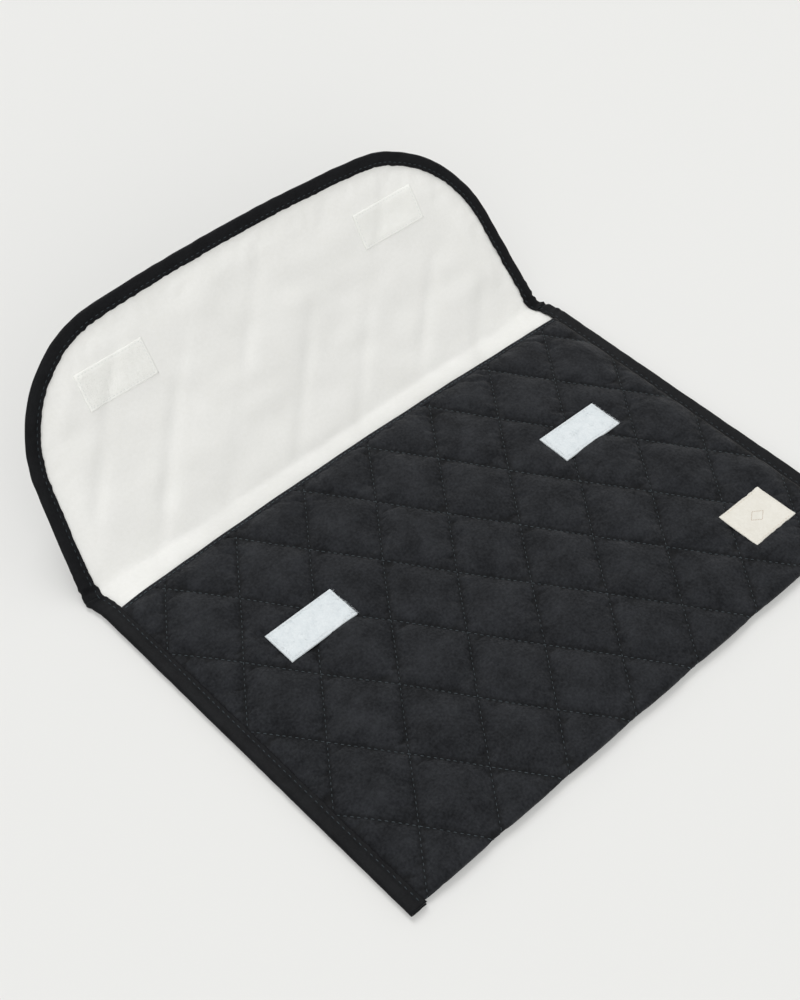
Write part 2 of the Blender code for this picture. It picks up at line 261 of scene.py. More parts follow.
def edge_inset(x, run):
    """Distance in from the strip's outline, and the direction inwards as (x, run)."""
    across = np.abs(x)
    reach = run - FLAP_RUN
    side_x = -math.cos(FLAP_TAPER)
    side_r = -math.sin(FLAP_TAPER)
    share = smooth((reach + 6) / 12)
    body = HALF_WIDTH - across
    side = (across - FLAP_HALF_BASE) * side_x + reach * side_r
    inset = body + (side - body) * share
    in_x = -1 + (side_x + 1) * share
    in_r = side_r * share
    corner_x = across - CORNER[0]
    corner_r = reach - CORNER[1]
    distance = np.maximum(np.hypot(corner_x, corner_r), 1e-6)
    angle = np.arctan2(corner_r, corner_x)
    top_r = reach - (FLAP_DEPTH - TOP_RADIUS)
    top_distance = np.hypot(across, top_r)
    # The angle from the corner's centre says which part of the outline is nearest.
    at_corner = (reach > 20) & (angle > CORNER_FIRST)
    at_top = at_corner & ((angle > CORNER_LAST) | (np.arctan2(top_r, across) > CORNER_LAST))
    at_corner = at_corner & ~at_top
    for there, radius, far, to_x, to_r in (
        (at_corner, CORNER_RADIUS, distance, corner_x, corner_r),
        (at_top, TOP_RADIUS, top_distance, across, top_r),
    ):
        inset = np.where(there, radius - far, inset)
        in_x = np.where(there, -to_x / far, in_x)
        in_r = np.where(there, -to_r / far, in_r)
    return inset, in_x * np.sign(x), in_r


def tuck_in(x, run):
    """Move points that reach too far out back under the binding."""
    inset, in_x, in_r = edge_inset(x, run)
    push = np.maximum(TUCK - inset, 0.0)
    return x + in_x * push, run + in_r * push


def unit(vectors):
    return vectors / np.maximum(np.linalg.norm(vectors, axis=-1, keepdims=True), 1e-9)


# ---- mesh building

def add_object(name, data):
    item = bpy.data.objects.new(name, data)
    bpy.context.scene.collection.objects.link(item)
    return item


def add_piece(name, points, faces, finish, strip=None):
    """A smooth mesh from points in millimetres; strip holds each point's place in its cloth."""
    data = bpy.data.meshes.new(name)
    data.from_pydata((points * MM).tolist(), [], [list(map(int, f)) for f in faces])
    data.update()
    if strip is None:
        strip = points
    kept = data.attributes.new("strip", "FLOAT_VECTOR", "POINT")
    kept.data.foreach_set("vector", np.asarray(strip, np.float32).ravel())
    data.shade_smooth()
    data.materials.append(finish)
    return add_object(name, data)


def add_sheet(name, upper, lower, faces, finish, strip):
    """A closed piece between two faces of a sheet; the rim joins their open edges."""
    faces = np.asarray(faces)
    count = len(upper)
    edges = np.concatenate([faces[:, [k, (k + 1) % 4]] for k in range(4)])
    keys = np.sort(edges, axis=1)
    _, first, times = np.unique(keys, axis=0, return_index=True, return_counts=True)
    rim = edges[first[times == 1]]
    sides = np.stack([rim[:, 1], rim[:, 0], rim[:, 0] + count, rim[:, 1] + count], 1)
    every = np.concatenate([faces, faces[:, ::-1] + count, sides])
    points = np.concatenate([upper, lower])
    return add_piece(name, points, every, finish, np.concatenate([strip, strip]))


def grid_faces(rows, columns):
    """Faces between the points of a grid, as rows and columns of four corners."""
    index = np.arange(rows * columns).reshape(rows, columns)
    return np.stack([index[:-1, :-1], index[:-1, 1:], index[1:, 1:], index[1:, :-1]], -1)


def sweep_faces(stations, corners):
    """Faces of a tube, with both ends closed."""
    ring = list(range(corners))
    last = (stations - 1) * corners
    faces = []
    for low in range(0, last, corners):
        high = low + corners
        for corner in ring:
            following = (corner + 1) % corners
            faces.append([low + corner, low + following, high + following, high + corner])
    faces.append(ring[::-1])
    faces.append([last + corner for corner in ring])
    return faces


def add_tubes(name, rings, finish):
    """Many small tubes as one piece; each ring corner is an array with a point for every tube."""
    points = np.stack([corner for ring in rings for corner in ring], 1)
    starts = np.arange(len(points)) * points.shape[1]
    faces = []
    for face in sweep_faces(len(rings), len(rings[0])):
        faces += (np.array(face)[None, :] + starts[:, None]).tolist()
    return add_piece(name, points.reshape(-1, 3), faces, finish)


def ring_round(middle, side, up, radius, corners):
    """Corners of a ring; side and up are unit vectors across the tube."""
    turns = [2 * PI * step / corners for step in range(corners)]
    return [middle + (side * math.cos(turn) + up * math.sin(turn)) * radius for turn in turns]


def add_stitches(name, centres, along, normal, size, finish):
    """Thread stitches: short rounded lengths whose two ends dip into the cloth."""
    length, radius = size
    along = unit(along)
    normal = unit(normal)
    side = np.cross(normal, along)
    rings = []
    for at, thick in ((-1, 0.45), (-0.82, 0.85), (-0.35, 1), (0.35, 1), (0.82, 0.85), (1, 0.45)):
        middle = centres + along * (length / 2 * at) - normal * (radius * 1.3 * at * at)
        rings.append(ring_round(middle, side, normal * 0.8, radius * thick, 6))
    return add_tubes(name, rings, finish)


def add_seam(name, place, seam, lift, size, finish):
    """Stitches on a surface; each is (x, run, direction in x, direction in run)."""
    x, run, aim_x, aim_run = seam.T
    lift = np.full_like(x, lift)
    step = 0.4
    centres = place(x, run, lift)
    ahead = place(x + aim_x * step, run + aim_run * step, lift)
    behind = place(x - aim_x * step, run - aim_run * step, lift)
    normal = place(x, run, lift + 0.5) - centres
    return add_stitches(name, centres, ahead - behind, normal, size, finish)


# ---- quilting

def wobble(x, run):
    """Small wander of the stitching lines and everything between them."""
    return x + 0.45 * drift(x, run, 60, 150, 3), run + 0.45 * drift(x, run, 60, 150, 4)


def lines_across(low, high):
    """Number of quilting lines of one family that reach the cloth on either side of the first."""
    return int(2 * HALF_WIDTH / DIAMOND_WIDE + 2 * max(abs(low), abs(high)) / DIAMOND_HIGH) + 2


def lattice_point(line_a, line_b):
    """Where a line of one family crosses a line of the other."""
    return DIAMOND_WIDE * (line_a + line_b) / 2, DIAMOND_HIGH * (line_a - line_b) / 2


def lattice_sheet(low, high, fineness, keep):
    """Cells that run along both families of quilting lines, so creases follow them."""
    limit = (lines_across(low, high) + 1) * fineness
    steps = np.arange(-limit, limit + 1)
    step_a, step_b = np.meshgrid(steps, steps, indexing="ij")
    x, run = lattice_point(LINE_A + step_a / fineness, LINE_B + step_b / fineness)
    mid_x = (x[:-1, :-1] + x[1:, 1:]) / 2
    mid_run = (run[:-1, :-1] + run[1:, 1:]) / 2
    wanted = (mid_run > low) & (mid_run < high) & keep(mid_x, mid_run)
    rows, columns = np.nonzero(wanted)
    width = len(steps)
    corner = rows * width + columns
    faces = np.stack([corner, corner + 1, corner + width + 1, corner + width], 1)
    used, index = np.unique(faces, return_inverse=True)
    on_line = (step_a % fineness == 0) | (step_b % fineness == 0)
    return x.ravel()[used], run.ravel()[used], on_line.ravel()[used], index.reshape(-1, 4)


def puff(x, run, faces, held, base, seed):
    """Cloth simulation: pressure swells the quilting between the points that are held."""
    free = np.where(held, 0.0, 0.4 + 0.45 * drift(x, run, 6, 30, seed)) + base
    points = np.stack([x, run, free], 1) * CLOTH_SCALE
    data = bpy.data.meshes.new("puff")
    data.from_pydata(points.tolist(), [], faces.tolist())
    item = add_object("puff", data)
    pins = item.vertex_groups.new(name="held")
    pins.add(np.nonzero(held)[0].tolist(), 1.0, "REPLACE")
    cloth = item.modifiers.new("cloth", "CLOTH")
    how = cloth.settings
    how.quality = 5
    how.mass = 0.2
    how.air_damping = 1.0
    for kind, (stiffness, damping) in CLOTH.items():
        setattr(how, kind + "_stiffness", stiffness)
        setattr(how, kind + "_damping", damping)
    how.vertex_group_mass = "held"
    how.shrink_min = -0.03
    how.use_pressure = True
    how.uniform_pressure_force = 3.0
    how.effector_weights.gravity = 0
    cloth.collision_settings.use_collision = False
    frames = 18
    scene = bpy.context.scene
    scene.frame_start, scene.frame_end = 1, frames
    cloth.point_cache.frame_start, cloth.point_cache.frame_end = 1, frames
    for number in range(1, frames + 1):
        scene.frame_set(number)
    settled = item.evaluated_get(bpy.context.evaluated_depsgraph_get())
    found = np.empty(len(x) * 3, np.float32)
    settled.data.vertices.foreach_get("co", found)
    found = found.reshape(-1, 3).astype(float) / CLOTH_SCALE
    bpy.data.objects.remove(item)
    bpy.data.meshes.remove(data)
    scene.frame_set(1)
    # Only part of the sideways creep is kept, so the stitching lines stay straight.
    return x + 0.5 * (found[:, 0] - x), run + 0.5 * (found[:, 1] - run), found[:, 2]


def quilting_stitches(low, high, keep):
    """Places and directions of the quilting stitches between two runs."""
    rng = np.random.default_rng(11)
    cell = math.hypot(DIAMOND_WIDE, DIAMOND_HIGH) / 2
    step = QUILT_PITCH / cell
    limit = lines_across(low, high)
    found = []
    for family in (1, -1):
        for line in range(-limit, limit + 1):
            other = np.arange(-limit, limit, step) + rng.uniform(0, step)
            if family == 1:
                x, run = lattice_point(LINE_A + line + 0 * other, other)
            else:
                x, run = lattice_point(other, LINE_B + line + 0 * other)
            inside = (run > low) & (run < high) & keep(x, run)
            direction = np.array([DIAMOND_WIDE, -family * DIAMOND_HIGH]) / 2 / cell
            ways = np.repeat(direction[None, :], inside.sum(), 0)
            found.append(np.concatenate([np.stack([x, run], 1)[inside], ways], 1))
    return np.concatenate(found)


def in_box(x, y, box, margin):
    low, high = box
    return ((x > low[0] - margin) & (x < high[0] + margin)
            & (y > low[1] - margin) & (y < high[1] + margin))


def patch_base(x, y):
    """How far the front panel is held up under its patches, and where it is held."""
    held = np.zeros(len(x), bool)
    base = np.zeros(len(x))
    for box, lift in SEWN_ON:
        under = in_box(x, y, box, -0.8)
        held |= under
        base[under] = lift
    return held, base


def stitched_down(lift, crest, reach):
    """Steep sides beside the stitching and a flatter top, as on real quilting."""
    return crest * (1 - np.exp(-np.maximum(lift, 0) / reach)) + np.clip(lift, -0.2, 0)


def puckers(x, run, lift, size, seed):
    """Short creases in the cloth beside the stitching."""
    return size * drift(x, run, 3.4, 8.0, seed) * np.exp(-((lift - 0.8) / 0.6) ** 2)


def add_front_quilt(finish, thread):
    low, high = -UNDERLAP, MOUTH_RUN - 1.2
    fineness = 30
    x, run, on_line, faces = lattice_sheet(low, high, fineness, lambda a, b: np.abs(a) < SHEET_HALF)
    x = np.clip(x, -SHEET_HALF, SHEET_HALF)
    run = np.clip(run, low, high)
    flat, base = patch_base(x, BOTTOM_Y + run)
    edge = (x < -SEAM_X - 0.6) | (x > SEAM_X + RIGHT_OVERHANG + 0.4)
    edge |= (run > MOUTH_RUN - 3.4) | (run < low + 0.4)
    sheet_x, sheet_run, lift = puff(x, run, faces, on_line | flat | edge, base, 21)
    crest = (CREST + 0.6 * drift(x, run, 40, 120, 22)) * smooth((SEAM_X + 4 - x) / 14)
    lift = np.where(flat, base, stitched_down(lift, crest, 5.6))
    lift += puckers(x, run, lift, 0.24, 23) * ~flat
    strip = np.stack([sheet_x, sheet_run, lift], 1)
    sheet_x, sheet_run = wobble(sheet_x, sheet_run)
    upper = front_place(sheet_x, sheet_run, lift)
    lower = front_place(sheet_x, sheet_run, np.full_like(lift, -0.9) + 0.4 * (np.abs(x) > 158))
    quilt = add_sheet("front_quilt", upper, lower, faces, finish, strip)
    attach(quilt, "sleeve")
    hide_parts("front_shell", "front_batting", "bottom_fold_shell", "bottom_fold_batting")

    def clear(at_x, at_run):
        covered = [in_box(at_x, BOTTOM_Y + at_run, box, 0.8) for box, _ in SEWN_ON]
        return (np.abs(at_x) < SEAM_X) & ~np.any(covered, axis=0)

    stitches = quilting_stitches(low, MOUTH_RUN - 5, clear)
    threads = add_quilting_threads("front_stitches", stitches, front_place, 0.12, thread)
    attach(threads, "sleeve")


def add_quilting_threads(name, stitches, place, lift, thread):
    """Stitches along the quilting; one family of lines is pulled tighter than the other."""
    tight = stitches[:, 3:] > 0
    size = [np.where(tight, *pair) for pair in zip(TIGHT_STITCH, QUILT_STITCH)]
    stitches[:, :2] = np.stack(wobble(stitches[:, 0], stitches[:, 1]), 1)
    item = add_seam(name, place, stitches, lift, size, thread)
    return item


def back_place(x, run, lift):
    """Point of the back and flap's outer face; run is below zero, counted on from the front."""
    in_seam = 0.35 * smooth((BINDING_WIDTH + 3 - edge_inset(x, -run)[0]) / 4)
    return strip_place(x, -run, BACK_SINK + in_seam - lift)


def add_back_quilt(finish, thread):
    low, high = -(FLAP_RUN + FLAP_DEPTH), -UNDERLAP
    fineness = 24

    def inside(a, b):
        return edge_inset(a, -b)[0] > TUCK + 0.5

    x, run, on_line, faces = lattice_sheet(low, high, fineness, inside)
    run = np.minimum(run, high)
    x, back_run = tuck_in(x, -run)
    run = -back_run
    inset = edge_inset(x, -run)[0]
    edge = (inset < BINDING_WIDTH - 0.6) | (run > high - 0.4)
    sheet_x, sheet_run, lift = puff(x, run, faces, on_line | edge, np.zeros_like(x), 31)
    on_floor = smooth((BACK_RUN + 4 + run) / 8)
    crest = BACK_CREST + 0.15 * drift(x, run, 40, 120, 32) - 0.6 * on_floor
    lift = stitched_down(lift, crest, 1.2)
    lift += puckers(x, run, lift, 0.12, 33) * (1 - on_floor)
    strip = np.stack([sheet_x, sheet_run, lift], 1)
    sheet_x, sheet_run = wobble(sheet_x, sheet_run)
    upper = back_place(sheet_x, sheet_run, lift)
    in_seam = smooth((20 - edge_inset(sheet_x, -sheet_run)[0]) / 6)
    lower = back_place(sheet_x, sheet_run, 0.5 * in_seam - 0.95)
    quilt = add_sheet("back_quilt", upper, lower, faces, finish, strip)
    crease(quilt)
    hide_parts("back_shell", "back_batting", "flap_shell", "flap_batting")

    def clear(at_x, at_run):
        return edge_inset(at_x, -at_run)[0] > BINDING_WIDTH

    stitches = quilting_stitches(low, high, clear)
    threads = add_quilting_threads("back_stitches", stitches, back_place, 0.10, thread)
    crease(threads)


def crease(item):
    """Bakes the piece's placement into its mesh; the cloth's bend from the sleeve to the flap is
    already in its points.
    """
    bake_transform(item)


# ---- lining

def lining_level(x, y):
    """Height of the front panel's lining, inside the pocket."""
    full = STACK + room(x, y)
    level = LINING_SEAM_Z + (full - LINING_SEAM_Z) * steep((SEAM_X - np.abs(x)) / LINING_RAMP)
    return np.minimum(level, front_level(x, y) - 1.25)


def lining_depth(x, run):
    """Depth of the lining's face on the back and flap, with its soft waves."""
    inset = edge_inset(x, run)[0]
    free = smooth((inset - BINDING_WIDTH + 2) / 14)
    line_a = run / DIAMOND_HIGH - x / DIAMOND_WIDE
    line_b = run / DIAMOND_HIGH + x / DIAMOND_WIDE
    # The quilting on the other side pulls the lining in along its lines, some more than others.
    pull_a = np.exp(-(np.sin(PI * (line_a + LINE_B)) / GHOST_WIDTH) ** 2)
    pull_b = np.exp(-(np.sin(PI * (line_b + LINE_A)) / GHOST_WIDTH) ** 2)
    uneven = np.maximum(0.55 + 0.75 * drift(x, run, 40, 120, 45), 0)
    pulled = (0.95 * pull_a + 0.30 * pull_b) * uneven
    out = smooth((run - MOUTH_RUN + 25) / 30)
    waves = 0.75 * drift(x, run, 45, 130, 41) + 0.40 * drift(x, run, 14, 38, 42)
    # Short puckers fan in from the binding, and a few folds run in from the crease's ends.
    pucker = 0.38 * drift(x, run, 7, 13, 43) * np.exp(-((inset - 15) / 8.0) ** 2)
    at_crease = np.exp(-((run - FLAP_RUN - 14 - 0.10 * np.abs(x)) / 7.0) ** 2)
    fold = 0.5 * at_crease * smooth((np.abs(x) - 70) / 80) * smooth((inset - 9) / 10)
    seam = STACK - 1.0
    face = STACK + (0.65 - pulled + waves) * out
    return np.maximum(seam + (face - seam) * free + (pucker + fold) * out, 2.2)


def lining_face(columns, hidden, turn, runs, thickness):
    """Points of one face of the lining, row by row, and their places in its own cloth."""
    zero = 0 * columns
    rows = []
    for inner in hidden:
        y = zero + FOLD_Y - inner
        z = lining_level(columns, y) + thickness + 0.12 * drift(columns, y, 25, 60, 44)
        rows.append([columns, y, z, columns, inner + zero, zero])
    top = lining_level(columns, zero + FOLD_Y)
    low = STACK - 0.4 * smooth((np.abs(columns) - 158) / 6)
    for angle in turn:
        radius = np.maximum((top - low) / 2, 0.1) + thickness
        y = FOLD_Y - radius * math.cos(angle)
        z = (top + low) / 2 + radius * math.sin(angle)
        rows.append([columns, y, z, columns, zero, zero])
    for run in runs:
        x, at = tuck_in(columns, run + zero)
        rows.append([*strip_place(x, at, lining_depth(x, at) - thickness).T, x, at, zero])
    rows = np.moveaxis(np.array(rows), 1, 2).reshape(-1, 6)
    return rows[:, :3], rows[:, 3:]


def add_lining(finish):
    """One piece of cloth: down inside the front, round the fold, up the back, over the flap."""
    step = 2.5
    columns = np.linspace(-LINING_HALF, LINING_HALF, int(2 * LINING_HALF / step) + 1)
    hidden = np.arange(FOLD_Y - MOUTH_Y + 1.5, 0, 5.0)
    turn = np.linspace(PI / 2, -PI / 2, 7)
    near = np.arange(FOLD_Y - BOTTOM_Y + 3, MOUTH_RUN - 30, 5.0)
    runs = np.concatenate([near, np.arange(near[-1] + step, FLAP_RUN + FLAP_DEPTH, step)])
    upper, strip = lining_face(columns, hidden, turn, runs, 0.0)
    lower, _ = lining_face(columns, hidden, turn, runs, LINING_THICK)
    run_of = np.concatenate([np.zeros(len(hidden) + len(turn)), runs])
    mid_run = (run_of[1:] + run_of[:-1]) / 2
    mid_x = (columns[1:] + columns[:-1]) / 2
    inset = edge_inset(*np.meshgrid(mid_x, mid_run))[0]
    faces = grid_faces(len(run_of), len(columns))[inset > TUCK]
    used, compact = np.unique(faces, return_inverse=True)
    faces = compact.reshape(-1, 4)
    item = add_sheet("lining", upper[used], lower[used], faces, finish, strip[used])
    crease(item)
    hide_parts("front_lining", "back_lining", "bottom_fold_lining", "flap_lining")


# ---- binding and hem

def arc_point(centre, radius, turn):
    return centre[0] + radius * math.cos(turn), FLAP_RUN + centre[1] + radius * math.sin(turn)


def outline_point(distance):
    """Point (x, run) of the right half of the outline, this far on from its start."""
    body = FLAP_RUN + BINDING_START
    if distance < body:
        run = distance - BINDING_START
        widen = float(smooth((run - BACK_RUN) / CREASE_RUN))
        return HALF_WIDTH + (FLAP_HALF_BASE - HALF_WIDTH) * widen, run
    distance -= body
    if distance < FLAP_SIDE:
        x = FLAP_HALF_BASE - math.sin(FLAP_TAPER) * distance
        return x, FLAP_RUN + math.cos(FLAP_TAPER) * distance
    distance -= FLAP_SIDE
    if distance < CORNER_LENGTH:
        return arc_point(CORNER, CORNER_RADIUS, CORNER_FIRST + distance / CORNER_RADIUS)
    turn = CORNER_LAST + (distance - CORNER_LENGTH) / TOP_RADIUS
    return arc_point((0.0, FLAP_DEPTH - TOP_RADIUS), TOP_RADIUS, turn)


def binding_path(spacing):
    """Stations along the outline: up one side, round the flap and down the other side."""
    top_half = TOP_RADIUS * (PI / 2 - CORNER_LAST)
    total = FLAP_RUN + BINDING_START + FLAP_SIDE + CORNER_LENGTH + top_half
    half = np.array([outline_point(at) for at in np.linspace(0, total, int(total / spacing) + 1)])
    other = half[:-1][::-1] * np.array([-1.0, 1.0])
    path = np.concatenate([half, other])
    window = np.hanning(9) / np.hanning(9).sum()
    for axis in (0, 1):
        path[4:-4, axis] = np.convolve(path[:, axis], window, "valid")
    tangent = unit(np.gradient(path, axis=0))
    inward = np.stack([-tangent[:, 1], tangent[:, 0]], 1)
    way = np.concatenate([[0], np.cumsum(np.linalg.norm(np.diff(path, axis=0), axis=1))])
    return path, inward, way


def binding_low(run):
    """The back's puffs hold the body's edge a little off the ground."""
    return 0.6 - 0.5 * smooth((run - MOUTH_RUN + 2) / 17)


def gathers(run, way):
    """Small folds where the binding is squeezed round the crease."""
    near = np.exp(-((run - BACK_RUN - 3) / 13.0) ** 2)
    return near * (np.sin(2 * PI * way / 5.6) + 0.5 * np.sin(2 * PI * way / 3.6 + 1.0))


def binding_point(route, station, inset, height):
    """A point of the binding, with its small irregularities."""
    path, inward, way = route
    at = path[station]
    run = at[:, 1]
    along = way[station]
    fold = gathers(run, along)
    curved = smooth((run - FLAP_RUN - 15) / 30)
    slack = drift(along, 0 * along, 9, 40, 51)
    fine = drift(along, 6 * inset, 4, 11, 52)
    narrow = 1 - 0.16 * smooth((run - BACK_RUN) / 20)
    edge = 0.26 * drift(along, 0 * along, 3.4, 8, 53) * smooth(inset - 8)
    out = inset * narrow - 0.32 * fold - 0.14 * slack * (0.6 + 0.7 * curved) + edge
    above = height > BINDING_THICK / 2
    rise = height * (1 + 0.15 * fold * (inset < 9)) + (0.12 * slack + 0.05 * fine) * above
    place = at + inward[station] * out[:, None]
    return strip_place(place[:, 0], np.maximum(place[:, 1], -1.0), binding_low(run) + rise)


def binding_outline(groove):
    """Inset and height of each corner of the folded tape, from its lower inner edge round."""
    inner = BINDING_WIDTH
    thick = BINDING_THICK
    leg = 0.85
    edge = 2.3
    lower = [(inner - 0.1, 0.5), (inner - 0.25, 0.14), (inner - 0.8, 0.0), (8.5, 0.03)]
    lower += [(STITCH_INSET, groove), (6.5, 0.08), (5.4, -0.10), (4.0, -0.12), (2.7, 0.0)]
    section = list(lower)
    for step in range(1, 8):
        turn = PI * step / 8
        section.append((edge - edge * math.sin(turn), thick / 2 * (1 - math.cos(turn))))
    section += [(inset, thick - height) for inset, height in lower[::-1]]
    inside = [(inner - 0.3, leg), (5.0, leg), (1.3, leg + 0.2)]
    section += [(inset, thick - height) for inset, height in inside]
    section += [(inset, height) for inset, height in inside[::-1]]
    return section


def add_binding(finish, thread):
    route = binding_path(0.95)
    way = route[2]
    stations = np.arange(len(way))
    groove = 0.46 + 0.16 * np.cos(2 * PI * way / BINDING_PITCH)
    rings = []
    places = []
    for number, (inset, height) in enumerate(binding_outline(groove)):
        inset = np.full(len(way), float(inset))
        height = height + 0 * way
        rings.append(binding_point(route, stations, inset, height))
        places.append(np.stack([way, inset, np.full_like(way, number * 1.0)], 1))
    points = np.stack(rings, 1).reshape(-1, 3)
    strip = np.stack(places, 1).reshape(-1, 3)
    item = add_piece("binding", points, sweep_faces(len(way), len(rings)), finish, strip)
    crease(item)
    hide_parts("side_binding_left", "side_binding_right", "flap_binding")
    add_binding_threads(route, thread)


def add_binding_threads(route, thread):
    """The seam that holds the binding, on both of its faces."""
    way = route[2]
    count = int(way[-1] / BINDING_PITCH)
    at = (np.arange(count) + 0.5) * BINDING_PITCH
    stations = np.clip(np.searchsorted(way, at), 1, len(way) - 2)
    after = np.minimum(stations + 1, len(way) - 1)
    inset = np.full(count, STITCH_INSET)
    parts = []
    for level, out in ((0.34, -0.5), (BINDING_THICK - 0.34, 0.5)):
        height = np.full(count, level)
        here = binding_point(route, stations, inset, height)
        ahead = binding_point(route, after, inset, height)
        above = binding_point(route, stations, inset, height + out)
        parts.append([here, ahead - here, above - here])
    centres, along, normal = np.concatenate(parts, axis=1)
    item = add_stitches("binding_stitches", centres, along, normal, BINDING_STITCH, thread)
    crease(item)


def add_mouth_hem(finish, thread):
    """The front panel's free edge, wrapped in a narrow fold of its own cloth."""
    columns = np.linspace(-165.0, 165.0, 276)
    y = np.full_like(columns, MOUTH_Y)
    ends = smooth((166.5 - np.abs(columns)) / 6)
    top = front_level(columns, y) + 0.40 + 0.25 * ends
    low = np.minimum(lining_level(columns, y) - 0.55, top - 1.0)
    wave_y = 0.22 * drift(columns, y, 14, 60, 61)
    wave_z = 0.16 * drift(columns, y, 10, 40, 62)
    dimple = 0.14 * (1 + np.cos(2 * PI * columns / HEM_PITCH))

    def ring(back, z):
        return np.stack([columns, y - back + wave_y, z], 1)

    # Each corner of the fold's upper half is (back from the edge, down, share of the dimples).
    upper = [(4.1, 0.55, 0), (3.9, 0.15, 0), (3.3, 0, 0), (HEM_INSET, 0.03, 1), (1.6, 0, 0)]
    rings = [ring(back, top - down - dimple * seam + wave_z) for back, down, seam in upper]
    for step in range(1, 8):
        turn = PI * step / 8
        high = top + wave_z
        z = (high + low) / 2 + (high - low) / 2 * math.cos(turn)
        rings.append(ring(1.2 - 1.2 * math.sin(turn), z))
    rings += [ring(back, low + down) for back, down, _ in upper[::-1]]
    rings += [ring(3.7, low + 0.6 + (top - low - 1.2) * share) for share in (0.15, 0.85)]
    points = np.stack(rings, 1).reshape(-1, 3)
    item = add_piece("mouth_hem_fold", points, sweep_faces(len(columns), len(rings)), finish)
    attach(item, "sleeve")
    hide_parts("mouth_hem")
    at = np.arange(-162.0, 162.0, HEM_PITCH)
    heights = np.interp(at, columns, top + wave_z) + 0.06
    centres = np.stack([at, np.interp(at, columns, y + wave_y) - HEM_INSET, heights], 1)
    along = np.gradient(centres, axis=0)
    normal = np.repeat([[0.0, 0.0, 1.0]], len(at), 0)
    threads = add_stitches("hem_stitches", centres, along, normal, HEM_STITCH, thread)
    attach(threads, "sleeve")


# ---- patches and label

def add_tape(name, place, size, thickness, spacing, top_extra, finish):
    """A closed patch with rounded edges, laid on a surface by place(u, w, height)."""
    length, depth = size
    columns = np.linspace(-length / 2, length / 2, int(length / spacing) + 1)
    rows = np.linspace(-depth / 2, depth / 2, int(depth / spacing) + 1)
    u, w = (grid.ravel() for grid in np.meshgrid(columns, rows))
    inset = np.minimum(length / 2 - np.abs(u), depth / 2 - np.abs(w))
    high = thickness * (0.55 + 0.45 * steep(inset / 0.8)) + top_extra(u, w, inset)
    faces = grid_faces(len(rows), len(columns)).reshape(-1, 4)
    strip = np.stack([u, w, high], 1)
    return add_sheet(name, place(u, w, high), place(u, w, 0 * high), faces, finish, strip)


def fibres(name, roots, tips, lift, radius, finish):
    """Fine bent fibres, each a thin three-sided tube from root to tip."""
    rings = []
    way = tips - roots
    side = unit(np.cross(way, np.array([0.0, 0.0, 1.0])) + 1e-6)
    up = unit(np.cross(side, way))
    for share in (0.0, 0.35, 0.7, 1.0):
        middle = roots + way * share + lift * math.sin(PI * share)
        rings.append(ring_round(middle, side, up, radius * (1 - 0.4 * share), 3))
    return add_tubes(name, rings, finish)


def polygon_stitches(corners, pitch):
    """Places and directions of a seam along the sides of a closed outline."""
    found = []
    for a, b in zip(corners, corners[1:] + corners[:1]):
        a, b = np.array(a), np.array(b)
        span = np.linalg.norm(b - a)
        count = max(int(round(span / pitch)), 1)
        for step in range(count):
            middle = a + (b - a) * (step + 0.5) / count
            found.append((*middle, *((b - a) / span)))
    return np.array(found)


def rectangle(length, depth):
    """Corners of a rectangle about its own middle."""
    u, w = length / 2, depth / 2
    return [(-u, -w), (u, -w), (u, w), (-u, w)]


def edge_seam(name, place, size, inset, pitch, height, radius, finish):
    """A seam round the inside of a patch's edge."""
    corners = rectangle(size[0] - 2 * inset, size[1] - 2 * inset)
    stitch = (pitch * STITCH_SHARE, radius)
    return add_seam(name, place, polygon_stitches(corners, pitch), height, stitch, finish)


def front_patch(name, lift):
    """Size of a patch on the front panel, and a function for the place of its points."""
    low, high = node_box(name)
    centre = (low + high) / 2

    def place(u, w, height):
        x, y = centre[0] + u, centre[1] + w
        return np.stack([x, y, front_level(x, y) + lift + height], -1)

    return (high - low)[:2], place


def add_loop_patch(side, finish, thread, seed):
    name = "loop_patch_" + side
    size, place = front_patch(name, PATCH_LIFT)

    def pile(u, w, inset):
        clumps = 0.07 * drift(u, w, 1.2, 3.0, seed) + 0.08 * drift(u, w, 5, 12, seed + 1)
        seam = -0.26 * np.exp(-((inset - PATCH_INSET) / 0.5) ** 2)
        return clumps * smooth(inset / 0.6) + seam

    tape = add_tape(name + "_pile", place, size, 1.25, 0.55, pile, finish)
    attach(tape, "sleeve")
    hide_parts(name)
    rng = np.random.default_rng(seed)
    count = 2600
    u = rng.uniform(-size[0] / 2 + 0.8, size[0] / 2 - 0.5, count)
    w = rng.uniform(-size[1] / 2 + 0.8, size[1] / 2 - 0.8, count)
    turn = rng.uniform(0, 2 * PI, count)
    reach = rng.uniform(0.4, 1.0, count)
    roots = place(u, w, np.full(count, 1.05))
    tips = place(u + reach * np.cos(turn), w + reach * np.sin(turn), rng.uniform(1.0, 1.2, count))
    frayed = 150
    fray_u = np.full(frayed, size[0] / 2 - 0.4)
    fray_w = rng.uniform(-size[1] / 2, size[1] / 2, frayed)
    length = rng.uniform(0.4, 1.7, frayed)
    slant = rng.normal(0, 0.5, frayed)
    fray_roots = place(fray_u, fray_w, rng.uniform(0.2, 1.1, frayed))
    fray_tips = place(fray_u + length, fray_w + slant * length, rng.uniform(0, 1.1, frayed))
    roots = np.concatenate([roots, fray_roots])
    tips = np.concatenate([tips, fray_tips])
    hairs = fibres(name + "_fuzz", roots, tips, np.array([0.0, 0.0, 0.16]), 0.05, finish)
    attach(hairs, "sleeve")
    seam = edge_seam(name + "_seam", place, size, PATCH_INSET, 2.4, 1.02, 0.17, thread)
    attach(seam, "sleeve")


